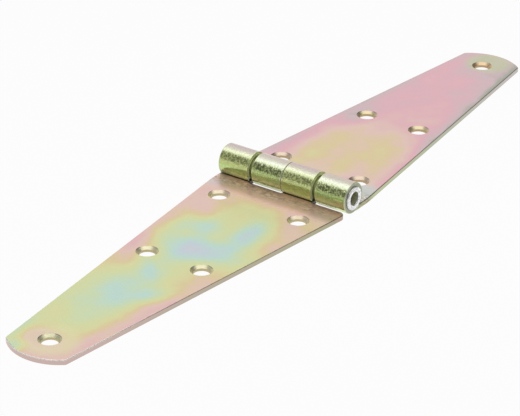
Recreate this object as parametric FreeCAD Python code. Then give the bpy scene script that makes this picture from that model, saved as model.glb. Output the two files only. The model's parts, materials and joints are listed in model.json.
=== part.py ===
import FreeCAD, Part
import math
import os

from FreeCAD import Vector

os.makedirs("parts", exist_ok=True)

# A long triangular strap hinge, open flat and lying on its underside.
# The origin is the middle of the barrel on the plane that the undersides lie on.
# +X runs along the gate leaf, +Y along the pin and +Z up out of the screwed face.
# Both leaves are the same pressing: the frame leaf is the gate leaf turned half
# round the upright line through the origin.

# Driving dimensions in millimetres.

# Sheet and pin
sheet = 2.0                # thickness of the leaves
pin_diameter = 7.9
pin_clearance = 0.05       # all round, between the pin and the rolled knuckles
pin_wall = 1.35            # the pin is a thick tube
lip_overhang = 0.55        # how far the peened lip reaches past the pin all round
lip_thickness = 0.65
lip_round = 0.3
mouth_round = 0.35
end_play = 0.05            # between a peened lip and the knuckle it holds

# Knuckles, two on each leaf
knuckle_length = 13.1
middle_gap = 0.3           # between the two knuckles that meet at mid barrel
outer_gap = 1.85           # between an end knuckle and its neighbour
roll_gap = 0.15            # between the end of the roll and the leaf's top face
notch_clearance = 0.6      # between a turning knuckle and the notch it turns in

# Leaf outline
leaf_reach = 150.0         # pin axis to the top of the rounded tip
root_overhang = 0.5        # the leaf is this much wider than the barrel each side
tip_half_width = 12.9
tip_rise = 5.0             # height of the tip's arc over its two corners
root_corner_radius = 2.2
notch_corner_radius = 0.6  # inside corners of the notches beside the knuckles
tip_corner_radius = 1.2
shoulder_radius = 40.0     # where the sloping side runs out into the end knuckle
edge_round = 0.35          # rolled-over upper edge left by the press
under_edge_round = 0.2

# Screw holes, two pairs and one in the tip, countersunk from the top
hole_diameter = 6.0
countersink_diameter = 8.2
countersink_angle = 90.0
inner_pair_distance = 19.8     # pin axis to the pair beside the barrel
outer_pair_distance = 70.2     # pin axis to the pair at mid leaf
pair_inset = 9.4               # hole centre to the sloping side, measured along Y
tip_hole_inset = 12.3          # hole centre to the top of the tip

# Sizes that follow from those above.

pin_radius = pin_diameter / 2
bore_radius = pin_radius + pin_clearance
knuckle_radius = bore_radius + sheet
axis_height = knuckle_radius

inner_knuckle = (middle_gap / 2, middle_gap / 2 + knuckle_length)
end_knuckle = (-inner_knuckle[1] - outer_gap - knuckle_length, -inner_knuckle[1] - outer_gap)
half_barrel = -end_knuckle[0]

# The corner of the sheet nearest to a turning knuckle is the upper edge of the notch.
notch_reach = math.sqrt(
    (knuckle_radius + notch_clearance) ** 2 - (axis_height - sheet) ** 2
)
root_half_width = half_barrel + root_overhang
tip_corner = leaf_reach - tip_rise
side_slope = (root_half_width - tip_half_width) / (tip_corner - notch_reach)


def side_half_width(distance):
    """Half width of the leaf at a distance from the pin axis."""
    return root_half_width - side_slope * (distance - notch_reach)


def extrude_face(wire, direction):
    return Part.Face(wire).extrude(direction)


def vertical_edges_at(shape, x, y):
    """Upright edges of a flat blank that stand over one point."""
    found = []
    for edge in shape.Edges:
        first, last = edge.Vertexes[0].Point, edge.Vertexes[-1].Point
        upright = abs(first.x - last.x) < 1e-6 and abs(first.y - last.y) < 1e-6
        if upright and math.hypot(first.x - x, first.y - y) < 1e-4:
            found.append(edge)
    return found


def flat_blank():
    """The flat part of a leaf: tapered plate with two tabs that become knuckles."""
    shoulder = notch_reach + root_overhang / side_slope
    bend = math.atan(side_slope)
    bend_start = shoulder - shoulder_radius * math.tan(bend / 2)

    def on_the_bend(angle):
        across = shoulder_radius * math.sin(angle)
        along = shoulder_radius * (1 - math.cos(angle))
        return Vector(bend_start + across, end_knuckle[0] + along, 0)

    bend_arc = Part.Arc(on_the_bend(0), on_the_bend(bend / 2), on_the_bend(bend)).toShape()
    low_tip = Vector(tip_corner, -tip_half_width, 0)
    high_tip = Vector(tip_corner, tip_half_width, 0)
    tip_arc = Part.Arc(low_tip, Vector(leaf_reach, 0, 0), high_tip).toShape()
    knuckle_side = Part.makeLine(Vector(0, end_knuckle[0], 0), on_the_bend(0))
    sloping_side = Part.makeLine(on_the_bend(bend), low_tip)
    far_side_and_notches = Part.makePolygon([
        high_tip,
        Vector(notch_reach, root_half_width, 0),
        Vector(notch_reach, inner_knuckle[1], 0),
        Vector(0, inner_knuckle[1], 0),
        Vector(0, inner_knuckle[0], 0),
        Vector(notch_reach, inner_knuckle[0], 0),
        Vector(notch_reach, end_knuckle[1], 0),
        Vector(0, end_knuckle[1], 0),
        Vector(0, end_knuckle[0], 0),
    ])
    near_side = [knuckle_side, bend_arc, sloping_side, tip_arc]
    outline = Part.Wire(near_side + far_side_and_notches.Edges)
    blank = extrude_face(outline, Vector(0, 0, sheet))
    rounds = [
        (notch_reach, root_half_width, root_corner_radius),
        (tip_corner, tip_half_width, tip_corner_radius),
        (tip_corner, -tip_half_width, tip_corner_radius),
        (notch_reach, inner_knuckle[1], notch_corner_radius),
        (notch_reach, inner_knuckle[0], notch_corner_radius),
        (notch_reach, end_knuckle[1], notch_corner_radius),
    ]
    for x, y, radius in rounds:
        blank = blank.makeFillet(radius, vertical_edges_at(blank, x, y))
    return blank


def rolled_knuckle(low, high):
    """Sheet rolled under, behind and over the pin until it meets the leaf again."""
    drop = math.asin((axis_height - sheet - roll_gap) / knuckle_radius)

    def around(radius, angle):
        return Vector(radius * math.cos(angle), low, axis_height + radius * math.sin(angle))

    half_way = (math.pi * 1.5 - drop) / 2
    outer_start = Vector(0, low, 0)
    inner_start = Vector(0, low, sheet)
    outer_arc = Part.Arc(outer_start, around(knuckle_radius, half_way), around(knuckle_radius, -drop))
    inner_arc = Part.Arc(around(bore_radius, -drop), around(bore_radius, half_way), inner_start)
    rolled_end = Part.makeLine(around(knuckle_radius, -drop), around(bore_radius, -drop))
    root = Part.makeLine(inner_start, outer_start)
    section = Part.Wire([outer_arc.toShape(), rolled_end, inner_arc.toShape(), root])
    return extrude_face(section, Vector(0, high - low, 0))


def screw_hole(x, y):
    """Straight hole with a countersink whose rim lies in the top face."""
    hole_radius = hole_diameter / 2
    rim_radius = countersink_diameter / 2
    depth = (rim_radius - hole_radius) / math.tan(math.radians(countersink_angle / 2))
    drill = Part.makeCylinder(hole_radius, sheet * 3, Vector(x, y, -sheet))
    above = sheet
    cone = Part.makeCone(
        hole_radius,
        rim_radius + (rim_radius - hole_radius) * above / depth,
        depth + above,
        Vector(x, y, sheet - depth),
    )
    return drill.fuse(cone)


def hole_places():
    """Centres of the five screw holes of one leaf."""
    places = []
    for distance in (inner_pair_distance, outer_pair_distance):
        offset = side_half_width(distance) - pair_inset
        places.append((distance, offset))
        places.append((distance, -offset))
    places.append((leaf_reach - tip_hole_inset, 0.0))
    return places


def outline_edges(shape, height):
    """Edges of the flat outline at one height, without the roots of the knuckles."""
    found = []
    for edge in shape.Edges:
        box = edge.BoundBox
        level = abs(box.ZMin - height) < 1e-6 and abs(box.ZMax - height) < 1e-6
        across_the_root = box.XMax < 1e-6
        if level and not across_the_root:
            found.append(edge)
    return found


def leaf():
    """One leaf of sheet steel, pointing along +X."""
    solid = flat_blank()
    for low, high in (inner_knuckle, end_knuckle):
        solid = solid.fuse(rolled_knuckle(low, high))
    solid = solid.removeSplitter()
    solid = solid.makeFillet(under_edge_round, outline_edges(solid, 0))
    solid = solid.makeFillet(edge_round, outline_edges(solid, sheet))
    for x, y in hole_places():
        solid = solid.cut(screw_hole(x, y))
    return solid


def end_circles(shape, face, radius):
    """Circles of one radius on the two end faces of the pin."""
    found = []
    for edge in shape.Edges:
        at_the_end = abs(abs(edge.BoundBox.Center.y) - face) < 1e-6
        if edge.Closed and at_the_end and abs(edge.Curve.Radius - radius) < 1e-6:
            found.append(edge)
    return found


def hinge_pin():
    """Thick tube with both ends peened over into a lip."""
    shoulder = half_barrel + end_play
    face = shoulder + lip_thickness
    lip_radius = pin_radius + lip_overhang
    hollow = pin_radius - pin_wall
    profile = Part.makePolygon([
        Vector(hollow, -face, 0),
        Vector(lip_radius, -face, 0),
        Vector(lip_radius, -shoulder, 0),
        Vector(pin_radius, -shoulder, 0),
        Vector(pin_radius, shoulder, 0),
        Vector(lip_radius, shoulder, 0),
        Vector(lip_radius, face, 0),
        Vector(hollow, face, 0),
        Vector(hollow, -face, 0),
    ])
    pin = Part.Face(profile).revolve(Vector(0, 0, 0), Vector(0, 1, 0), 360)
    pin = pin.makeFillet(min(lip_round, 0.8 * lip_thickness), end_circles(pin, face, lip_radius))
    pin = pin.makeFillet(min(mouth_round, 0.4 * pin_wall), end_circles(pin, face, hollow))
    pin.translate(Vector(0, 0, axis_height))
    return pin


gate_leaf = leaf()
frame_leaf = gate_leaf.copy()
frame_leaf.rotate(Vector(0, 0, 0), Vector(0, 0, 1), 180)

gate_leaf.exportStep("parts/gate_leaf.step")
frame_leaf.exportStep("parts/frame_leaf.step")
hinge_pin().exportStep("parts/hinge_pin.step")
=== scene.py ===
import json
import math
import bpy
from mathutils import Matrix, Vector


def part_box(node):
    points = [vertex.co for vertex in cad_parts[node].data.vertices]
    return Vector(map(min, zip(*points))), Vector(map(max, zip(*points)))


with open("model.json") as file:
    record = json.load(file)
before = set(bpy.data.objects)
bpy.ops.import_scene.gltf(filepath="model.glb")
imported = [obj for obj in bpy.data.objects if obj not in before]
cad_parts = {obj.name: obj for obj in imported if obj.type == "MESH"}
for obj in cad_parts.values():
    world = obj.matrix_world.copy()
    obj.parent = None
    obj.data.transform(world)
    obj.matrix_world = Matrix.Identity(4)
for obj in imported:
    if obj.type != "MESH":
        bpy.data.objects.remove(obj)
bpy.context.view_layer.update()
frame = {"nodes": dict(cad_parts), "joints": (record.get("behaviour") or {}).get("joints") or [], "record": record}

from types import SimpleNamespace

import bpy
from mathutils import Matrix, Vector

bl_info = {
    "name": "Triangle Hinge Finish",
    "version": (1, 0, 0),
    "blender": (4, 5, 0),
    "location": "3D View > Sidebar > Hinge",
    "description": "Plating, pin and studio for a long triangular strap hinge",
    "category": "Object",
}

MOUNTS = {mount["name"]: mount for mount in frame["record"]["mounts"]}
PIN_AXIS = frame["joints"][0]["pos_m"]
MM = 0.001

# Sizes of the solids that the finishes follow. The inner screws' mount lies where the
# countersink ends and the straight hole starts, and the knuckles stand on the underside.
COUNTERSINK_DEPTH = 1.1 * MM
COUNTERSINK_FOOT = MOUNTS["gate_inner_screws"]["pos_m"][2]
SHEET_TOP = COUNTERSINK_FOOT + COUNTERSINK_DEPTH
HOLE_RIM = MOUNTS["gate_inner_screws"]["dims"]["hole_r_mm"] * MM + COUNTERSINK_DEPTH
LEAF_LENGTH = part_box("gate_leaf")[1].x
HALF_WIDTH_AT_AXIS = 29.3 * MM
SIDE_SLOPE = 0.113
KNUCKLE_RADIUS = PIN_AXIS[2]
BORE_RADIUS = 4.0 * MM
ROLL_END = 4.6 * MM  # from the pin's axis to where the roll meets the flat again
HALF_BARREL = 28.2 * MM
PIN_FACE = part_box("hinge_pin")[1].y
PIN_LIP_RADIUS = 4.5 * MM
PIN_HOLLOW_RADIUS = 2.6 * MM

# Where the photograph was taken from, in degrees and metres, and its lens
CAMERA_AZIMUTH = math.radians(-54.53)
CAMERA_ELEVATION = math.radians(27.10)
CAMERA_ROLL = math.radians(0.25)
CAMERA_DISTANCE = 0.9165
CAMERA_SHIFT_RIGHT = -0.01088
CAMERA_SHIFT_UP = -0.00579
FOCAL_LENGTH_PIXELS = 2477
IMAGE_WIDTH_PIXELS = 520
SENSOR_WIDTH = 36.0
CLIP_NEAR, CLIP_FAR = 0.01, 50.0

# Level directions from the hinge: away from the camera, and to the camera's right
FAR_SIDE = (-math.sin(CAMERA_AZIMUTH), math.cos(CAMERA_AZIMUTH), 0.0)
RIGHT_SIDE = (math.cos(CAMERA_AZIMUTH), math.sin(CAMERA_AZIMUTH), 0.0)


def srgb(red, green, blue):
    """A colour as it is read off a screen, 0 to 255, turned into scene values."""
    shares = (red / 255, green / 255, blue / 255)
    return tuple(v / 12.92 if v <= 0.04045 else ((v + 0.055) / 1.055) ** 2.4 for v in shares)


# The passivation film changes colour as it thickens: each stop is a share of the
# thickest film and the tone that it shows there.
FILM_STOPS = {
    "sage": (0.00, srgb(160, 161, 149)),
    "mauve": (0.12, srgb(201, 178, 181)),
    "rose": (0.26, srgb(218, 171, 179)),
    "salmon": (0.38, srgb(219, 189, 178)),
    "straw": (0.47, srgb(214, 195, 152)),
    "yellow": (0.56, srgb(210, 209, 156)),
    "lime": (0.65, srgb(205, 211, 161)),
    "green": (0.75, srgb(194, 212, 178)),
    "sea": (0.83, srgb(184, 211, 199)),
    "sky": (0.91, srgb(189, 203, 208)),
    "lavender": (1.00, srgb(207, 194, 208)),
}

# Painted highlights along the rims of the knuckles: distance from mid barrel in millimetres, and tone
KNUCKLE_RIM_HIGHLIGHTS = (
    (0.15, srgb(228, 226, 204)),
    (13.25, srgb(216, 230, 170)),
    (15.1, srgb(214, 226, 168)),
    (28.2, srgb(200, 208, 170)),
)

# Tones of single places on both leaves
# Painted highlight on the rolled rim towards the tip
RIM_HIGHLIGHT_TONE = srgb(250, 244, 236)
ROOT_STAIN = srgb(214, 179, 157)
# Painted light beside the barrel that lifts the shade of the barrel's reflection
ROOT_PAINTED_LIGHT = srgb(237, 195, 178)
# Painted shade along the rolled rim beside the barrel
ROOT_RIM_SHADE = srgb(112, 98, 76)
BARREL_END = srgb(184, 189, 160)
# Painted light on the knuckles' cut ends in the gaps, where shade falls
KNUCKLE_END_PAINTED_LIGHT = srgb(236, 244, 190)
# Painted shade where the knuckles' ends meet the pin's lip
LIP_SEAT_SHADE = srgb(148, 152, 124)
# Painted shade deep in the joints between knuckles and notches
CREVICE_SHADE = srgb(70, 56, 44)
# Painted shade in the crack where the roll ends on the leaf
ROLL_CRACK_SHADE = srgb(100, 94, 42)

# Tones of the pin: its bright zinc from thin clouds to thick ones, and its dull places
PIN_CLOUDS = ((0.0, srgb(204, 204, 214)), (0.6, srgb(232, 232, 232)), (1.0, srgb(222, 224, 214)))
PIN_SHAFT = srgb(196, 200, 150)
PIN_HOLLOW = srgb(184, 184, 150)

# The plating of each leaf. Places and lengths are in millimetres.
# side: the way that the leaf points along X.
# mottled: how strongly the stretched plating on its knuckles is mottled.
# base, slope, edge: thickness of the film at the pin's axis, its change for each metre
#     along the leaf and its change at the sides.
# patches: thicker and thinner film, as centre along and across, reach along and across,
#     turn in degrees and change in thickness.
# drops: film of another tone where a drop dried, as centre, reach, strength and tone.
# worn_from: how far out the painted highlight on the rim starts, past the tip if there is none.
# root_stain: strength of the stain beside the barrel, and of the painted light just past it.
# sides, sinks: tones of the cut sides and of the countersinks, by share of the length.
# bores, end_foot: tone of the straight hole walls and under the end knuckle.
# foot_scatter: share of light that the underside of the knuckles scatters.
# knuckles: tones round the knuckles, by degrees from +X upwards; besides the film's tone they hold painted
# highlight and painted shade bands.
FRAME_LEAF_FILM = {
    "side": -1.0,
    "mottled": 0.5,
    "base": 0.354,
    "slope": -1.46,
    "edge": 0.064,
    "patches": (
        (-58.5, -0.2, 9.4, 28.0, -3, 0.335),
        (-38.3, -10.2, 17.6, 7.6, 9, 0.482),
        (-43.2, 9.8, 7.2, 9.2, -93, 0.810),
        (-94.5, -9.4, 7.3, 5.3, -23, 0.285),
        (-77.4, 6.7, 3.8, 14.7, 140, 0.168),
        (-43.1, 10.1, 12.6, 5.6, 10, -0.542),
        (-53.8, 31.0, 56.5, 7.9, 45, -0.229),
        (-102.7, -0.2, 72.3, 11.9, 6, 0.369),
        (-138.4, 3.7, 5.7, 7.3, 21, -0.319),
        (-141.5, 14.9, 13.3, 7.7, 21, 0.383),
        (-126.2, -10.8, 6.4, 3.1, -2, -0.062),
        (-34.5, 30.8, 17.4, 8.1, -9, -0.018),
        (-120.5, 21.2, 64.7, 21.4, -27, 0.375),
        (-10.8, 3.0, 7.3, 89.7, -21, -0.044),
        (-25.9, 6.6, 11.3, 6.5, -48, 0.127),
        (-19.3, -21.6, 6.0, 4.2, -331, 0.121),
        (-147.6, 6.8, 4.6, 3.6, 10, 0.290),
        (-26.9, -33.4, 8.2, 7.0, -38, 0.109),
    ),
    "drops": (
        (-137.8, -0.7, 12.2, 0.53, srgb(218, 215, 171)),
        (-9.0, 27.5, 8.0, 0.6, srgb(206, 198, 208)),
    ),
    "worn_from": 92.0,
    "root_stain": 0.7,
    "sides": ((0.1, srgb(176, 173, 144)), (0.5, srgb(184, 174, 157)), (0.9, srgb(204, 180, 174))),
    "sinks": ((0.2, srgb(250, 236, 204)), (0.45, srgb(244, 238, 200)), (0.9, srgb(238, 236, 196))),
    "bores": srgb(190, 178, 136),
    "foot_scatter": 0.9,
    "end_foot": srgb(190, 206, 142),
    # Film tones with painted highlights near 112-118 and 186-218 degrees, and painted shade near 130 and 230
    # degrees
    "knuckles": (
        (0, srgb(190, 190, 162)),
        (64, srgb(198, 191, 170)),
        (76, srgb(188, 165, 164)),
        (97, srgb(207, 194, 186)),
        (112, srgb(218, 221, 193)),
        (118, srgb(224, 229, 195)),
        (130, srgb(182, 190, 139)),
        (144, srgb(200, 210, 140)),
        (156, srgb(208, 216, 148)),
        (172, srgb(181, 193, 126)),
        (186, srgb(204, 239, 147)),
        (198, srgb(204, 242, 153)),
        (210, srgb(248, 253, 190)),
        (218, srgb(247, 253, 172)),
        (230, srgb(142, 147, 54)),
        (300, srgb(186, 196, 140)),
    ),
}
GATE_LEAF_FILM = {
    "side": 1.0,
    "mottled": 0.74,
    "base": 0.290,
    "slope": 0.99,
    "edge": -0.198,
    "patches": (
        (28.8, 11.2, 35.5, 7.3, 0, 0.168),
        (25.8, -14.4, 74.6, 15.7, 2, 0.219),
        (80.8, -18.1, 29.3, 12.5, 57, 0.412),
        (130.4, -12.5, 16.2, 6.2, 11, 0.510),
        (79.1, -21.8, 17.9, 39.8, 147, -0.612),
        (127.7, -17.1, 13.0, 29.5, -50, -0.800),
        (-9.0, -17.2, 33.2, 5.7, -174, -0.448),
        (68.5, 14.0, 11.5, 5.6, 2, -0.223),
        (141.4, -1.3, 28.2, 9.0, -14, -0.194),
        (109.3, -5.2, 8.1, 6.1, -23, -0.063),
        (138.3, -2.3, 15.1, 5.7, 2, 0.310),
        (11.2, -28.7, 6.1, 5.7, -4, 0.188),
    ),
    "drops": (
        (141.2, -0.8, 11.5, 0.55, srgb(188, 201, 150)),
        (8.0, -24.5, 13.5, 0.9, srgb(193, 199, 195)),
    ),
    "worn_from": 400.0,
    "root_stain": 0.2,
    "sides": ((0.1, srgb(184, 190, 146)), (0.5, srgb(178, 182, 158)), (0.9, srgb(192, 182, 178))),
    "sinks": ((0.2, srgb(230, 211, 188)), (0.45, srgb(232, 220, 178)), (0.9, srgb(232, 200, 160))),
    "bores": srgb(186, 162, 126),
    "foot_scatter": 0.0,
    "end_foot": srgb(216, 228, 170),
    # Film tones with painted highlights near 112-125 and 184-195 degrees, and painted shade near 136-156 and
    # 222-234 degrees
    "knuckles": (
        (0, srgb(190, 190, 162)),
        (64, srgb(206, 206, 177)),
        (76, srgb(198, 178, 168)),
        (97, srgb(207, 199, 186)),
        (112, srgb(220, 224, 203)),
        (118, srgb(228, 230, 214)),
        (125, srgb(215, 224, 189)),
        (136, srgb(179, 189, 140)),
        (144, srgb(166, 176, 123)),
        (156, srgb(166, 178, 120)),
        (170, srgb(184, 203, 136)),
        (184, srgb(199, 242, 157)),
        (195, srgb(232, 253, 194)),
        (207, srgb(182, 202, 136)),
        (222, srgb(160, 152, 106)),
        (234, srgb(122, 114, 78)),
        (300, srgb(186, 196, 140)),
    ),
}

# Strengths of the finishes on the leaves, as shares
DROP_CORE = 0.55  # part of a dried drop's reach over which its tone is full
EDGE_TIGHTNESS = 4.0  # how closely the film's change at the sides keeps to them
# Strength of the painted highlights along the knuckles' rims
KNUCKLE_RIM_HIGHLIGHT_STRENGTH = 0.7
KNUCKLE_MOTTLE = 0.09  # mottling where the plating wasn't stretched
# Strength of the painted shade along the rim beside the barrel
ROOT_RIM_DARKNESS = 0.8
ROOT_MARKS = (0.08, 0.48)  # weakest and strongest press marks
MARK_GAIN = (-0.3, 1.03)  # gain of the tone under the marks: its change with them, and start
SCATTER_ON_ROOT = 0.5
SCATTER_ON_END_WALLS = 0.9
MOST_SCATTER = 0.85
PRESSED_DULLNESS = 0.1
PRESSED_RELIEF = 0.6
GRAIN_ON_SHEET = 0.3

# Sizes of the finishes on the leaves
RIM_HIGHLIGHT_RUN_IN = 45  # millimetres from where the painted rim highlight starts to its full strength
ROOT_PATCH_SIZE = 5 * MM  # of the places where the press marked the sheet
ROOT_MARK_SIZE = 1.0 * MM
ROOT_MARK_STRETCH = (1.0, 0.5, 1.0)  # the marks are twice as long along the barrel

# Where finishes lie on the knuckles, by height over the axis as a share of the distance
STRETCHED_SPAN = (0.28, 0.46, 0.66, 0.80)
UNDER_END_SPAN = (0.15, -0.1)
FOOT_SPAN = (-0.2, -0.6)

# Part of a noise's values that is spread over its full swing
DIMPLE_RANGE = (0.3, 0.7)
MOTTLE_RANGE = (0.36, 0.64)
PATCH_RANGE = (0.35, 0.65)
GRAIN_FINENESS = 2.6  # how many times finer the grain is than the dimples

# Finish of the pin
PIN_CLOUD_SIZE = 2.5 * MM
PIN_CLOUD_AMOUNT = 0.5
PIN_BLOW_SIZE = 1.0 * MM
PIN_BLOW_AMOUNT = 0.28
PIN_DIMPLE_SIZE = 0.7 * MM
GRAIN_ON_PIN = 0.4
PIN_ROUGHNESS = 0.22
PIN_DULLNESS = 0.35  # what the shaft and the hollow add to the roughness

FLOOR_WHITENESS = 0.94  # share of plain white in the floor as it is seen
WHITE = (1.0, 1.0, 1.0, 1.0)

# Where the studio's brightness changes, from the first value to the second: cosines of the
# angles to its far side and its right side, and the sine of the angle above its table.
FAR_SIDE_SPREAD = (0.66, 0.88)
RIGHT_SIDE_SPREAD = (0.35, 0.65)
TABLE_EDGE_SPREAD = (0.28, 0.14)
LOWEST_RISE = 0.01  # sine of the lowest angle at which the soft box is looked for


class FilmSettings(bpy.types.PropertyGroup):
    """The passivated plating on both leaves."""

    roughness: bpy.props.FloatProperty(
        name="Roughness",
        description="How far the flat plating scatters what it reflects",
        default=0.27,
        min=0.02,
        max=1.0,
        subtype="FACTOR",
    )
    barrel_roughness: bpy.props.FloatProperty(
        name="Knuckle roughness",
        description="The rolling burnishes the knuckles, so they are glossier",
        default=0.15,
        min=0.02,
        max=1.0,
        subtype="FACTOR",
    )
    cloud_size: bpy.props.FloatProperty(
        name="Cloud size",
        description="Width of the faint clouds in the film",
        default=9 * MM,
        unit="LENGTH",
    )
    cloud_amount: bpy.props.FloatProperty(
        name="Cloud amount",
        description="How much the clouds change the film's thickness",
        default=0.1,
        subtype="FACTOR",
    )
    dimple_size: bpy.props.FloatProperty(
        name="Dimple size",
        description="Width of the small dimples of the plated sheet",
        default=1.0 * MM,
        unit="LENGTH",
    )
    dimple_depth: bpy.props.FloatProperty(
        name="Dimple depth",
        description="Depth of the dimples on the flat sheet",
        default=0.006 * MM,
        unit="LENGTH",
    )
    mottle_size: bpy.props.FloatProperty(
        name="Mottle size",
        description="Width of the dark and light grains where the plating was stretched",
        default=0.7 * MM,
        unit="LENGTH",
    )
    rolled_depth: bpy.props.FloatProperty(
        name="Rolled dimple depth",
        description="Depth of the dimples where the sheet was stretched round the pin",
        default=0.03 * MM,
        unit="LENGTH",
    )
    root_rise: bpy.props.FloatProperty(
        name="Root rise",
        description="How much higher the flat reads beside the barrel, where it was bent",
        default=0.7 * MM,
        unit="LENGTH",
    )


class StageSettings(bpy.types.PropertyGroup):
    """The studio: a pale floor, a soft overhead lamp and the sides of the room."""

    floor_drop: bpy.props.FloatProperty(
        name="Floor below the hinge",
        description="Leaves room for a leaf that swings down",
        default=LEAF_LENGTH + 10 * MM,
        unit="LENGTH",
    )
    floor_size: bpy.props.FloatProperty(
        name="Floor size", description="Side of the square floor", default=8.0, unit="LENGTH"
    )
    floor_tone: bpy.props.FloatVectorProperty(
        name="Floor colour",
        description="Colour of the floor where it is lit",
        default=(0.9, 0.9, 0.9),
        size=3,
        subtype="COLOR",
    )
    lamp_size: bpy.props.FloatVectorProperty(
        name="Lamp size",
        description="Width and length of the overhead soft box",
        default=(2.1, 1.74),
        size=2,
        subtype="XYZ_LENGTH",
    )
    lamp_place: bpy.props.FloatVectorProperty(
        name="Lamp place",
        description="How far the soft box hangs to the right of the hinge and beyond it",
        default=(0.09, -0.07),
        size=2,
        subtype="XYZ_LENGTH",
    )
    lamp_height: bpy.props.FloatProperty(
        name="Lamp height",
        description="Height of the soft box over the hinge",
        default=1.25,
        unit="LENGTH",
    )
    lamp_power: bpy.props.FloatProperty(
        name="Lamp power", description="Power of the soft box", default=14.6, unit="POWER"
    )
    dim_side: bpy.props.FloatProperty(
        name="Dim side",
        description="Brightness of the studio away from its lit side",
        default=0.35,
        subtype="FACTOR",
    )
    dark_side: bpy.props.FloatProperty(
        name="Dark side",
        description="Share of its light that the studio keeps on the right of the camera",
        default=0.36,
        subtype="FACTOR",
    )
    table_edge: bpy.props.FloatProperty(
        name="Table edge",
        description="Brightness of the studio just over the edge of the table",
        default=0.8,
        subtype="FACTOR",
    )


# Helpers for wiring node trees. A term is a value or a socket.


def limits(*distances, past=0.0):
    """Distances in millimetres, counted from zero or from a size of the solids."""
    return [past + distance * MM for distance in distances]


def give(tree, socket, term):
    """Link a socket to an input, or set the input's value."""
    if isinstance(term, bpy.types.NodeSocket):
        tree.links.new(term, socket)
    else:
        socket.default_value = term


def give_named(tree, node, **terms):
    """Give inputs by name, with an underscore for each space."""
    for label, term in terms.items():
        give(tree, node.inputs[label.replace("_", " ")], term)


def place(tree, kind, *terms, **options):
    """Add a node, give its inputs in order, skipping those that are None, and return it."""
    made = tree.nodes.new(kind)
    for name, value in options.items():
        setattr(made, name, value)
    for index, term in enumerate(terms):
        if term is not None:
            give(tree, made.inputs[index], term)
    return made


def maths(tree, operation, *terms):
    """Result of an operation on numbers."""
    return place(tree, "ShaderNodeMath", *terms, operation=operation).outputs[0]


def product(tree, first, *others):
    """Terms multiplied in turn."""
    for term in others:
        first = maths(tree, "MULTIPLY", first, term)
    return first


def remainder(tree, share):
    """What a share leaves of 1."""
    return maths(tree, "SUBTRACT", 1.0, share)


def vectors(tree, operation, *terms):
    """Result of an operation on vectors, which is a number for some of them."""
    made = place(tree, "ShaderNodeVectorMath", *terms, operation=operation)
    gives_number = operation in ("DOT_PRODUCT", "LENGTH", "DISTANCE")
    return made.outputs["Value" if gives_number else "Vector"]


def scaled(tree, vector, factor):
    """A vector or a colour times a number."""
    return vectors(tree, "SCALE", vector, None, None, factor)


def levelled(tree, vector):
    """A vector without its upright part."""
    return vectors(tree, "MULTIPLY", vector, (1.0, 1.0, 0.0))


def ramp(tree, value, low, high, at_low=0.0, at_high=1.0):
    """A smooth step from low to high."""
    made = place(
        tree, "ShaderNodeMapRange", value, low, high, at_low, at_high,
        interpolation_type="SMOOTHSTEP",
    )
    return made.outputs["Result"]


def band(tree, value, start, low, high, end):
    """1 from low to high, and a smooth fall to 0 at start and at end."""
    return product(tree, ramp(tree, value, start, low), ramp(tree, value, end, high))


def noise(tree, position, scale, detail, roughness):
    """Soft noise about 0.5."""
    made = place(tree, "ShaderNodeTexNoise", position, None, scale, detail, roughness)
    return made.outputs[0]


def mixed(tree, share, first, second):
    """Blend of two colours."""
    made = tree.nodes.new("ShaderNodeMix")
    made.data_type = "RGBA"
    for name, term in (("Factor_Float", share), ("A_Color", first), ("B_Color", second)):
        socket = next(s for s in made.inputs if s.identifier == name)
        give(tree, socket, (*term, 1.0) if isinstance(term, tuple) else term)
    return next(s for s in made.outputs if s.identifier == "Result_Color")


def layered(tree, colour, *layers):
    """Lay tones over a colour in turn, each within its mask."""
    for mask, tone in layers:
        colour = mixed(tree, mask, colour, tone)
    return colour


def colour_scale(tree, share, stops):
    """Colour ramp through (place, colour) stops."""
    made = place(tree, "ShaderNodeValToRGB", share)
    elements = made.color_ramp.elements
    while len(elements) < len(stops):
        elements.new(1.0)
    for element, (position, colour) in zip(elements, stops):
        element.position = position
        element.color = (*colour, 1.0)
    return made.outputs["Color"]


def bumped_normal(tree, height, depth):
    """Normal of a surface whose height goes from 0 to 1 over a depth."""
    bump = place(tree, "ShaderNodeBump", 1.0, depth)
    tree.links.new(height, bump.inputs["Height"])
    return bump.outputs[0]


# Shader groups, each built once and placed in every material that uses it

FLOAT, VECTOR, COLOUR = "NodeSocketFloat", "NodeSocketVector", "NodeSocketColor"


def new_group(name, output, output_kind, inputs):
    """A shader group with its sockets, and its input and output nodes."""
    group = bpy.data.node_groups.new(name, "ShaderNodeTree")
    for label, kind in inputs.items():
        group.interface.new_socket(
            name=label.replace("_", " "), in_out="INPUT", socket_type=kind
        )
    group.interface.new_socket(name=output, in_out="OUTPUT", socket_type=output_kind)
    entry = group.nodes.new("NodeGroupInput")
    leave = group.nodes.new("NodeGroupOutput")
    return group, entry.outputs, leave.inputs


def shader_group(output, kind, **inputs):
    """Turn a function that wires a group into one that fetches it, built at first use."""

    def decorate(wire):
        def fetch():
            group = bpy.data.node_groups.get(wire.__name__)
            if group is None:
                group, given, result = new_group(wire.__name__, output, kind, inputs)
                group.links.new(wire(group, given), result[output])
            return group

        return fetch

    return decorate


def use_group(tree, fetch, **given):
    """Place a shader group with its own values."""
    made = tree.nodes.new("ShaderNodeGroup")
    made.node_tree = fetch()
    give_named(tree, made, **given)
    return made.outputs[0]


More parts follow.
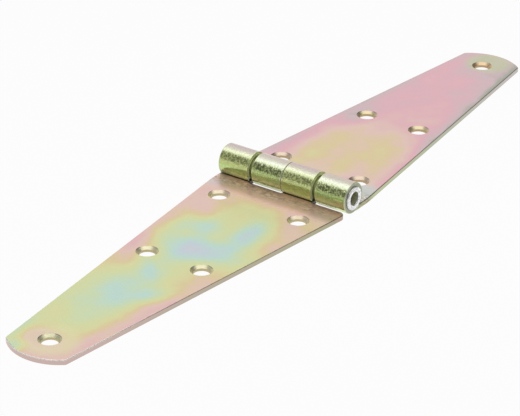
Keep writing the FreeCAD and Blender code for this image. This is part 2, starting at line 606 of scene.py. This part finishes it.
@shader_group("Thickness", FLOAT, Position=VECTOR, Centre=VECTOR, Reach=VECTOR, Turn=FLOAT,
              Change=FLOAT)
def film_patch(group, given):
    """One soft oval patch of thicker or thinner film."""
    offset = vectors(group, "SUBTRACT", given["Position"], given["Centre"])
    back_turn = maths(group, "MULTIPLY", given["Turn"], -1.0)
    turned = place(
        group, "ShaderNodeVectorRotate", offset, None, (0.0, 0.0, 1.0), back_turn,
        rotation_type="AXIS_ANGLE",
    ).outputs[0]
    shares = vectors(group, "DIVIDE", turned, given["Reach"])
    distance = vectors(group, "DOT_PRODUCT", shares, shares)
    fall = maths(group, "EXPONENT", maths(group, "MULTIPLY", distance, -1.0))
    return maths(group, "MULTIPLY", fall, given["Change"])


@shader_group("Colour", COLOUR, Thickness=FLOAT)
def film_colour(group, given):
    """Colour of the film from its thickness."""
    return colour_scale(group, given["Thickness"], FILM_STOPS.values())


@shader_group("Change", FLOAT, Position=VECTOR, Size=FLOAT, Amount=FLOAT)
def clouds(group, given):
    """Faint clouds, from minus Amount to plus Amount."""
    scale = maths(group, "DIVIDE", 1.0, given["Size"])
    soft = noise(group, given["Position"], scale, detail=3.0, roughness=0.55)
    swing = maths(group, "MULTIPLY_ADD", soft, 2.0, -1.0)
    return maths(group, "MULTIPLY", swing, given["Amount"])


@shader_group("Height", FLOAT, Position=VECTOR, Dimple_size=FLOAT, Grain_share=FLOAT)
def plating_relief(group, given):
    """Height of the plated surface: wide dimples and a finer grain."""
    scale = maths(group, "DIVIDE", 1.0, given["Dimple size"])
    dimples = noise(group, given["Position"], scale, detail=2.0, roughness=0.5)
    fine_scale = maths(group, "MULTIPLY", scale, GRAIN_FINENESS)
    grain = noise(group, given["Position"], fine_scale, detail=1.0, roughness=0.5)
    fine = product(group, ramp(group, grain, *DIMPLE_RANGE), given["Grain share"])
    return maths(group, "ADD", ramp(group, dimples, *DIMPLE_RANGE), fine)


@shader_group("Gain", FLOAT, Position=VECTOR, Size=FLOAT, Amount=FLOAT)
def mottle(group, given):
    """Light and dark grains of stretched plating, about 1, spread by Amount each way."""
    scale = maths(group, "DIVIDE", 1.0, given["Size"])
    grains = noise(group, given["Position"], scale, detail=3.0, roughness=0.7)
    swing = ramp(group, grains, *MOTTLE_RANGE, at_low=-1.0)
    return maths(group, "EXPONENT", maths(group, "MULTIPLY", swing, given["Amount"]))


@shader_group("Distance", FLOAT, Position=VECTOR)
def hole_distance(group, given):
    """Distance from the nearest screw hole's centre, the same on both leaves."""
    flat = levelled(group, vectors(group, "ABSOLUTE", given["Position"]))
    nearest = None
    for name in ("gate_inner_screws", "gate_outer_screws", "gate_tip_screw"):
        mount = MOUNTS[name]
        across = mount["dims"].get("spacing_y_mm", 0.0) / 2 * MM
        distance = vectors(group, "DISTANCE", flat, (mount["pos_m"][0], across, 0.0))
        nearest = distance if nearest is None else maths(group, "MINIMUM", nearest, distance)
    return nearest


# Materials


def empty_tree(owner):
    """Node tree of a new material or world, with nothing in it."""
    owner.use_nodes = True
    owner.node_tree.nodes.clear()
    return owner.node_tree


def finish_tree(tree, kind, shader):
    """Send a shader to a new output node."""
    finish = tree.nodes.new(kind)
    tree.links.new(shader, finish.inputs["Surface"])


def principled_material(name):
    """A new material, its node tree and its Principled surface."""
    material = bpy.data.materials.new(name)
    tree = empty_tree(material)
    surface = tree.nodes.new("ShaderNodeBsdfPrincipled")
    finish_tree(tree, "ShaderNodeOutputMaterial", surface.outputs[0])
    return material, tree, surface


def about_the_pin(tree, x, z):
    """Height over the pin's axis, and distance from it."""
    lift = maths(tree, "SUBTRACT", z, PIN_AXIS[2])
    outward = place(tree, "ShaderNodeCombineXYZ", x, lift, 0.0).outputs[0]
    return lift, vectors(tree, "LENGTH", outward)


def leaf_places(tree, film):
    """Where a point lies on a leaf, and the masks that several of its finishes share."""
    at = SimpleNamespace()
    at.position = tree.nodes.new("ShaderNodeTexCoord").outputs["Object"]
    at.x, y, at.z = place(tree, "ShaderNodeSeparateXYZ", at.position).outputs
    at.away = maths(tree, "ABSOLUTE", at.x)
    at.across = maths(tree, "ABSOLUTE", y)
    at.leafward = maths(tree, "MULTIPLY", at.x, film["side"])
    at.lift, at.from_axis = about_the_pin(tree, at.x, at.z)
    at.height = maths(tree, "DIVIDE", at.lift, at.from_axis)

    # Cut sides of the sheet, below its top face and above its underside
    at.below_top = ramp(tree, at.z, *limits(-0.06, -0.3, past=SHEET_TOP))
    at.cut_side = product(tree, at.below_top, ramp(tree, at.z, *limits(0.02, 0.2)))

    # Screw holes, and the rim that the press rolled over round the outline
    from_hole = use_group(tree, hole_distance, Position=at.position)
    at.in_hole = ramp(tree, from_hole, *limits(0.2, -0.05, past=HOLE_RIM))
    at.inside_wall = product(tree, at.in_hole, at.below_top)
    rolled_over = band(tree, at.z, *limits(-0.4, -0.3, -0.04, -0.01, past=SHEET_TOP))
    at.on_rim = product(tree, rolled_over, remainder(tree, at.in_hole))
    # Towards the tip the rim gets a painted highlight
    far_out = ramp(tree, at.away, *limits(0, RIM_HIGHLIGHT_RUN_IN, past=film["worn_from"] * MM))
    at.worn_rim = product(tree, at.on_rim, far_out)

    # Knuckles and their cut ends, and the flat that the press held beside them
    at.on_knuckle = ramp(tree, at.from_axis, *limits(0.3, 0.15, past=KNUCKLE_RADIUS))
    at.off_knuckle = remainder(tree, at.on_knuckle)
    at.cut_end = ramp(tree, at.from_axis, *limits(-0.15, -0.3, past=KNUCKLE_RADIUS))
    at.end_wall = product(tree, at.cut_end, at.on_knuckle)
    at.pressed = product(tree, ramp(tree, at.away, *limits(17, 9)), at.off_knuckle)
    return at


def film_thickness(tree, at, film, settings):
    """Thickness of the film on one leaf, a share of the thickest."""
    half_width = maths(tree, "MULTIPLY_ADD", at.away, -SIDE_SLOPE, HALF_WIDTH_AT_AXIS)
    share = maths(tree, "MINIMUM", maths(tree, "DIVIDE", at.across, half_width), 1.0)
    edge = maths(tree, "MULTIPLY", maths(tree, "POWER", share, EDGE_TIGHTNESS), film["edge"])
    thickness = maths(tree, "MULTIPLY_ADD", at.away, film["slope"], film["base"])
    thickness = maths(tree, "ADD", thickness, edge)
    any_depth = 1e6
    for x, y, length, width, turn, change in film["patches"]:
        patch = use_group(
            tree,
            film_patch,
            Position=at.position,
            Centre=(x * MM, y * MM, 0.0),
            Reach=(length * MM, width * MM, any_depth),
            Turn=math.radians(turn),
            Change=change,
        )
        thickness = maths(tree, "ADD", thickness, patch)
    cloudy = use_group(
        tree, clouds, Position=at.position, Size=settings.cloud_size,
        Amount=settings.cloud_amount,
    )
    return maths(tree, "ADD", thickness, cloudy)


def flat_colour(tree, at, film, settings):
    """Film on the flat, of another tone where a drop dried."""
    thickness = film_thickness(tree, at, film, settings)
    colour = use_group(tree, film_colour, Thickness=thickness)
    for x, y, reach, strength, tone in film["drops"]:
        from_drop = vectors(tree, "DISTANCE", at.position, (x * MM, y * MM, SHEET_TOP))
        on_drop = ramp(tree, from_drop, *limits(reach, DROP_CORE * reach), at_high=strength)
        colour = mixed(tree, on_drop, colour, tone)
    return colour


def with_cut_faces(tree, at, film, colour):
    """The cut sides of the sheet, the screw holes and the painted highlight on the rim towards the tip."""
    along = maths(tree, "DIVIDE", at.away, LEAF_LENGTH)
    deep = ramp(tree, at.z, *limits(0.1, -0.05, past=COUNTERSINK_FOOT))
    return layered(
        tree,
        colour,
        (at.cut_side, colour_scale(tree, along, film["sides"])),
        (at.inside_wall, colour_scale(tree, along, film["sinks"])),
        (product(tree, at.in_hole, deep), film["bores"]),
        # painted highlight on the rim towards the tip
        (at.worn_rim, RIM_HIGHLIGHT_TONE),
    )


def with_pressed_root(tree, at, film, colour):
    """Stain and marks beside the barrel, where the press held the sheet, painted light just past them and painted
    shade along the rim.
    """
    near_root = ramp(tree, at.away, *limits(14, 8))
    stain = product(tree, near_root, film["root_stain"])
    # Painted light that lifts the shade of the barrel's reflection on the flat
    painted_lift = product(
        tree,
        band(tree, at.away, *limits(9, 12, 14, 19)),
        ramp(tree, at.across, *limits(22, 12)),
        film["root_stain"],
    )
    colour = layered(tree, colour, (stain, ROOT_STAIN), (painted_lift, ROOT_PAINTED_LIGHT))

    patchy = noise(tree, at.position, 1 / ROOT_PATCH_SIZE, detail=2.0, roughness=0.5)
    marked = product(tree, near_root, ramp(tree, patchy, *PATCH_RANGE, *ROOT_MARKS))
    drawn_out = vectors(tree, "MULTIPLY", at.position, ROOT_MARK_STRETCH)
    marks = use_group(tree, mottle, Position=drawn_out, Size=ROOT_MARK_SIZE, Amount=marked)
    darkened = product(tree, marks, maths(tree, "MULTIPLY_ADD", marked, *MARK_GAIN))
    colour = scaled(tree, colour, darkened)

    # Painted shade along the rolled rim beside the barrel
    near_barrel = ramp(tree, at.away, *limits(30, 12), at_high=ROOT_RIM_DARKNESS)
    return mixed(tree, product(tree, at.on_rim, near_barrel), colour, ROOT_RIM_SHADE)


def knuckle_colour(tree, at, film, settings):
    """Rolled knuckles with painted highlight and painted shade bands round them, mottled where the sheet was
    stretched, with painted highlights along their rims.
    """
    turn = maths(tree, "DIVIDE", maths(tree, "ARCTAN2", at.lift, at.x), math.tau)
    turn = maths(tree, "FLOORED_MODULO", turn, 1.0)
    # The tones round the knuckles carry painted highlight and painted shade bands
    stops = [(degrees / 360, tone) for degrees, tone in film["knuckles"]]
    under_end = product(
        tree, ramp(tree, at.across, *limits(21, 26)), ramp(tree, at.height, *UNDER_END_SPAN)
    )
    colour = mixed(tree, under_end, colour_scale(tree, turn, stops), film["end_foot"])

    stretched = band(tree, at.height, *STRETCHED_SPAN)
    amount = maths(tree, "MULTIPLY_ADD", stretched, film["mottled"], KNUCKLE_MOTTLE)
    gain = use_group(
        tree, mottle, Position=at.position, Size=settings.mottle_size, Amount=amount
    )
    colour = scaled(tree, colour, gain)
    # Painted highlights along the knuckles' rims
    for end, tone in KNUCKLE_RIM_HIGHLIGHTS:
        from_end = maths(tree, "ABSOLUTE", maths(tree, "SUBTRACT", at.across, end * MM))
        worn = ramp(tree, from_end, *limits(0.5, 0.2), at_high=KNUCKLE_RIM_HIGHLIGHT_STRENGTH)
        colour = mixed(tree, worn, colour, tone)

    # Their cut ends, with painted light where they face each other across the gaps, and painted shade where they
    # are pressed down round the pin's lip
    within_barrel = ramp(tree, at.across, *limits(-0.7, -1.2, past=HALF_BARREL))
    bore_side = ramp(tree, at.from_axis, *limits(0.05, 0.15, past=BORE_RADIUS))
    lip_side = ramp(tree, at.from_axis, *limits(0.3, 0.1, past=PIN_LIP_RADIUS))
    return layered(
        tree,
        colour,
        # painted light on the cut ends inside the gaps
        (at.cut_end, mixed(tree, within_barrel, BARREL_END, KNUCKLE_END_PAINTED_LIGHT)),
        # painted shade round the pin's lip
        (product(tree, lip_side, bore_side), LIP_SEAT_SHADE),
    )


def with_painted_joint_shade(tree, at, colour):
    """Painted shade on the walls deep between knuckles and notches, and in the crack at the end of the roll."""
    tab_side = product(tree, at.cut_side, ramp(tree, at.leafward, *limits(0, 0.6)))
    # Painted shade on the walls deep between knuckles and notches
    crevice_shade = product(
        tree,
        maths(tree, "MAXIMUM", at.end_wall, tab_side),
        ramp(tree, at.z, *limits(1.4, 0.4, past=SHEET_TOP)),
        ramp(tree, at.away, *limits(0.4, -0.2, past=KNUCKLE_RADIUS)),
        ramp(tree, at.across, *limits(-0.4, -1.0, past=HALF_BARREL)),
    )
    # Painted shade in the crack at the end of the roll
    crack = product(
        tree,
        band(tree, at.leafward, *limits(-1.0, -0.4, 0.4, 0.7, past=ROLL_END)),
        band(tree, at.z, *limits(-0.4, -0.1, 0.2, 0.4, past=SHEET_TOP)),
    )
    return layered(tree, colour, (crevice_shade, CREVICE_SHADE), (crack, ROLL_CRACK_SHADE))


def leaf_colour(tree, at, film, settings):
    """Everything that is seen on a leaf, from the flat to the painted shade in the joints."""
    colour = flat_colour(tree, at, film, settings)
    colour = with_cut_faces(tree, at, film, colour)
    colour = with_pressed_root(tree, at, film, colour)
    colour = mixed(tree, at.on_knuckle, colour, knuckle_colour(tree, at, film, settings))
    return with_painted_joint_shade(tree, at, colour)


def scattered_share(tree, at, film):
    """Share of light that the rim under the painted highlight, cut and pressed places scatter, unlike clear
    plating.
    """
    foot = product(tree, ramp(tree, at.height, *FOOT_SPAN), at.on_knuckle)
    scatter = at.worn_rim
    for mask, share in (
        (at.pressed, SCATTER_ON_ROOT),
        (at.end_wall, SCATTER_ON_END_WALLS),
        (foot, film["foot_scatter"]),
    ):
        scatter = maths(tree, "MAXIMUM", scatter, product(tree, mask, share))
    return product(tree, scatter, MOST_SCATTER)


def leaf_roughness(tree, at, settings):
    """Duller where the press worked the root and the holes, glossier on the knuckles."""
    dull = maths(tree, "MAXIMUM", at.pressed, at.inside_wall)
    flat = maths(tree, "MULTIPLY_ADD", dull, PRESSED_DULLNESS, settings.roughness)
    made = place(
        tree, "ShaderNodeMix", at.on_knuckle, None, flat, settings.barrel_roughness
    )
    return made.outputs[0]


def leaf_normal(tree, at, settings):
    """Dimples, deepest on the knuckles, and a slight rise of the flat to the barrel."""
    relief = use_group(
        tree, plating_relief, Position=at.position, Dimple_size=settings.dimple_size,
        Grain_share=GRAIN_ON_SHEET,
    )
    on_flat = settings.dimple_depth / settings.rolled_depth
    pressed = product(tree, at.pressed, PRESSED_RELIEF)
    worked = maths(tree, "MAXIMUM", pressed, at.on_knuckle)
    depth = maths(tree, "MULTIPLY_ADD", worked, 1.0 - on_flat, on_flat)
    relief = product(tree, relief, depth)
    lifted = product(tree, ramp(tree, at.away, *limits(24, 12)), at.off_knuckle)
    rise = settings.root_rise / settings.rolled_depth
    relief = maths(tree, "MULTIPLY_ADD", lifted, rise, relief)
    return bumped_normal(tree, relief, settings.rolled_depth)


def leaf_material(name, film, settings):
    """Yellow passivated zinc on one leaf and its knuckles."""
    material, tree, surface = principled_material(name)
    at = leaf_places(tree, film)
    give_named(
        tree,
        surface,
        Base_Color=leaf_colour(tree, at, film, settings),
        Metallic=remainder(tree, scattered_share(tree, at, film)),
        Roughness=leaf_roughness(tree, at, settings),
        Normal=leaf_normal(tree, at, settings),
    )
    return material


def pin_material(settings):
    """Bright zinc on the hollow pin, dull inside and where the knuckles cover it."""
    material, tree, surface = principled_material("bright_zinc_pin")
    position = tree.nodes.new("ShaderNodeTexCoord").outputs["Object"]
    x, y, z = place(tree, "ShaderNodeSeparateXYZ", position).outputs
    _, from_axis = about_the_pin(tree, x, z)
    from_middle = maths(tree, "ABSOLUTE", y)
    on_shaft = ramp(tree, from_middle, *limits(-0.8, -0.9, past=PIN_FACE))
    inside = product(
        tree,
        ramp(tree, from_axis, *limits(0.35, 0.05, past=PIN_HOLLOW_RADIUS)),
        ramp(tree, from_middle, *limits(-0.35, -0.75, past=PIN_FACE)),
    )
    cloudy = use_group(
        tree, clouds, Position=position, Size=PIN_CLOUD_SIZE, Amount=PIN_CLOUD_AMOUNT
    )
    bright = colour_scale(tree, maths(tree, "ADD", cloudy, 0.5), PIN_CLOUDS)
    blows = use_group(
        tree, mottle, Position=position, Size=PIN_BLOW_SIZE, Amount=PIN_BLOW_AMOUNT
    )
    colour = scaled(tree, bright, blows)
    dull = maths(tree, "MAXIMUM", inside, on_shaft)
    relief = use_group(
        tree, plating_relief, Position=position, Dimple_size=PIN_DIMPLE_SIZE,
        Grain_share=GRAIN_ON_PIN,
    )
    give_named(
        tree,
        surface,
        Base_Color=layered(tree, colour, (on_shaft, PIN_SHAFT), (inside, PIN_HOLLOW)),
        Metallic=remainder(tree, inside),
        Roughness=maths(tree, "MULTIPLY_ADD", dull, PIN_DULLNESS, PIN_ROUGHNESS),
        Normal=bumped_normal(tree, relief, settings.rolled_depth),
    )
    return material


def coat(node, material):
    """Give a CAD node its only material."""
    materials = frame["nodes"][node].data.materials
    materials.clear()
    materials.append(material)


class HINGE_OT_coat_frame_leaf(bpy.types.Operator):
    """Plate the leaf that stays on the frame"""

    bl_idname = "hinge.coat_frame_leaf"
    bl_label = "Plate frame leaf"

    def execute(self, context):
        settings = context.scene.hinge_film
        coat("frame_leaf", leaf_material("yellow_zinc_frame_leaf", FRAME_LEAF_FILM, settings))
        return {"FINISHED"}


class HINGE_OT_coat_gate_leaf(bpy.types.Operator):
    """Plate the leaf that swings with the gate"""

    bl_idname = "hinge.coat_gate_leaf"
    bl_label = "Plate gate leaf"

    def execute(self, context):
        settings = context.scene.hinge_film
        coat("gate_leaf", leaf_material("yellow_zinc_gate_leaf", GATE_LEAF_FILM, settings))
        return {"FINISHED"}


class HINGE_OT_coat_pin(bpy.types.Operator):
    """Give the pin its bright zinc"""

    bl_idname = "hinge.coat_pin"
    bl_label = "Plate pin"

    def execute(self, context):
        coat("hinge_pin", pin_material(context.scene.hinge_film))
        return {"FINISHED"}


# Studio


def behind_soft_box(tree, direction, rise, settings):
    """1 where the soft box hides what is behind it, as seen from the hinge."""
    rise = maths(tree, "MAXIMUM", rise, LOWEST_RISE)
    at_lamp = scaled(tree, direction, maths(tree, "DIVIDE", settings.lamp_height, rise))
    within = []
    for side, centre, size in zip(
        (RIGHT_SIDE, FAR_SIDE), settings.lamp_place, settings.lamp_size
    ):
        along_side = vectors(tree, "DOT_PRODUCT", at_lamp, side)
        from_centre = maths(tree, "ABSOLUTE", maths(tree, "SUBTRACT", along_side, centre))
        within.append(maths(tree, "LESS_THAN", from_centre, size / 2))
    return product(tree, *within)


def studio_world(settings):
    """White for the camera, and a softly lit side for what the metal reflects."""
    world = bpy.data.worlds.new("studio")
    bpy.context.scene.world = world
    tree = empty_tree(world)
    direction = tree.nodes.new("ShaderNodeTexCoord").outputs["Generated"]
    heading = vectors(tree, "NORMALIZE", levelled(tree, direction))
    rise = place(tree, "ShaderNodeSeparateXYZ", direction).outputs["Z"]
    away_from_camera = vectors(tree, "DOT_PRODUCT", heading, FAR_SIDE)
    far = ramp(tree, away_from_camera, *FAR_SIDE_SPREAD, settings.dim_side, 1.0)
    low = ramp(tree, rise, *TABLE_EDGE_SPREAD, settings.dim_side, settings.table_edge)
    to_the_right = vectors(tree, "DOT_PRODUCT", heading, RIGHT_SIDE)
    level = product(
        tree,
        maths(tree, "MAXIMUM", far, low),
        ramp(tree, to_the_right, *RIGHT_SIDE_SPREAD, 1.0, settings.dark_side),
        remainder(tree, behind_soft_box(tree, direction, rise, settings)),
    )
    seen = tree.nodes.new("ShaderNodeLightPath").outputs["Is Camera Ray"]
    strength = maths(tree, "MAXIMUM", level, seen)
    background = place(tree, "ShaderNodeBackground", WHITE, strength)
    finish_tree(tree, "ShaderNodeOutputWorld", background.outputs[0])


def floor_material(settings):
    """Pale floor, white in view and in reflections, with a soft shadow. Clear from below."""
    material = bpy.data.materials.new("pale_floor")
    tree = empty_tree(material)
    lit = place(tree, "ShaderNodeBsdfDiffuse", (*settings.floor_tone, 1.0))
    white = place(tree, "ShaderNodeEmission", WHITE, 1.0)
    rays = tree.nodes.new("ShaderNodeLightPath").outputs
    seen = maths(tree, "MAXIMUM", rays["Is Camera Ray"], rays["Is Glossy Ray"])
    seen = maths(tree, "MAXIMUM", seen, rays["Is Transmission Ray"])
    share = maths(tree, "MULTIPLY", seen, FLOOR_WHITENESS)
    both = place(tree, "ShaderNodeMixShader", share, lit.outputs[0], white.outputs[0])
    clear = tree.nodes.new("ShaderNodeBsdfTransparent")
    backface = tree.nodes.new("ShaderNodeNewGeometry").outputs["Backfacing"]
    sided = place(tree, "ShaderNodeMixShader", backface, both.outputs[0], clear.outputs[0])
    finish_tree(tree, "ShaderNodeOutputMaterial", sided.outputs[0])
    return material


def lay_floor(settings):
    """A square floor, far enough down for a leaf to hang."""
    half = settings.floor_size / 2
    drop = -settings.floor_drop
    corners = [(-half, -half, drop), (half, -half, drop), (half, half, drop), (-half, half, drop)]
    mesh = bpy.data.meshes.new("floor")
    mesh.from_pydata(corners, [], [(0, 1, 2, 3)])
    mesh.materials.append(floor_material(settings))
    floor = bpy.data.objects.new("floor", mesh)
    bpy.context.scene.collection.objects.link(floor)


def hang_lamp(settings):
    """A soft box over the hinge, square to the camera and out of its sight."""
    lamp = bpy.data.lights.new("overhead_soft_box", "AREA")
    lamp.shape = "RECTANGLE"
    lamp.size, lamp.size_y = settings.lamp_size
    lamp.energy = settings.lamp_power
    box = bpy.data.objects.new("overhead_soft_box", lamp)
    right, beyond = settings.lamp_place
    box.location = (
        right * RIGHT_SIDE[0] + beyond * FAR_SIDE[0],
        right * RIGHT_SIDE[1] + beyond * FAR_SIDE[1],
        settings.lamp_height,
    )
    box.rotation_euler = (0.0, 0.0, CAMERA_AZIMUTH)
    box.visible_camera = False
    bpy.context.scene.collection.objects.link(box)


def set_camera():
    """The camera stands where the photograph was taken from."""
    back = Vector((
        math.sin(CAMERA_AZIMUTH) * math.cos(CAMERA_ELEVATION),
        -math.cos(CAMERA_AZIMUTH) * math.cos(CAMERA_ELEVATION),
        math.sin(CAMERA_ELEVATION),
    ))
    level = Vector(RIGHT_SIDE)
    upright = back.cross(level)
    right = level * math.cos(CAMERA_ROLL) + upright * math.sin(CAMERA_ROLL)
    up = upright * math.cos(CAMERA_ROLL) - level * math.sin(CAMERA_ROLL)
    eye = back * CAMERA_DISTANCE + right * CAMERA_SHIFT_RIGHT + up * CAMERA_SHIFT_UP
    lens = bpy.data.cameras.new("camera")
    lens.sensor_width = SENSOR_WIDTH
    lens.lens = FOCAL_LENGTH_PIXELS / IMAGE_WIDTH_PIXELS * SENSOR_WIDTH
    lens.clip_start = CLIP_NEAR
    lens.clip_end = CLIP_FAR
    camera = bpy.data.objects.new("camera", lens)
    turn = Matrix((right, up, back)).transposed().to_4x4()
    camera.matrix_world = Matrix.Translation(eye) @ turn
    bpy.context.scene.collection.objects.link(camera)
    bpy.context.scene.camera = camera


class HINGE_OT_build_stage(bpy.types.Operator):
    """Lay the pale floor, hang the soft box and set the camera"""

    bl_idname = "hinge.build_stage"
    bl_label = "Build studio"

    def execute(self, context):
        settings = context.scene.hinge_stage
        studio_world(settings)
        lay_floor(settings)
        hang_lamp(settings)
        set_camera()
        context.scene.view_settings.view_transform = "Standard"
        return {"FINISHED"}


class HINGE_PT_sidebar(bpy.types.Panel):
    """Buttons for the hinge's finishes and studio"""

    bl_idname = "HINGE_PT_sidebar"
    bl_label = "Triangle hinge"
    bl_space_type = "VIEW_3D"
    bl_region_type = "UI"
    bl_category = "Hinge"

    def draw(self, context):
        column = self.layout.column()
        for operator in OPERATORS:
            column.operator(operator.bl_idname)
        for settings in (context.scene.hinge_film, context.scene.hinge_stage):
            for name in settings.__annotations__:
                column.prop(settings, name)


OPERATORS = (
    HINGE_OT_coat_frame_leaf,
    HINGE_OT_coat_gate_leaf,
    HINGE_OT_coat_pin,
    HINGE_OT_build_stage,
)
CLASSES = (FilmSettings, StageSettings, *OPERATORS, HINGE_PT_sidebar)


def register():
    for kind in CLASSES:
        bpy.utils.register_class(kind)
    bpy.types.Scene.hinge_film = bpy.props.PointerProperty(type=FilmSettings)
    bpy.types.Scene.hinge_stage = bpy.props.PointerProperty(type=StageSettings)


def unregister():
    del bpy.types.Scene.hinge_stage
    del bpy.types.Scene.hinge_film
    for kind in reversed(CLASSES):
        bpy.utils.unregister_class(kind)


def main():
    register()
    bpy.ops.hinge.coat_frame_leaf()
    bpy.ops.hinge.coat_gate_leaf()
    bpy.ops.hinge.coat_pin()
    bpy.ops.hinge.build_stage()


if __name__ == "__main__":
    main()
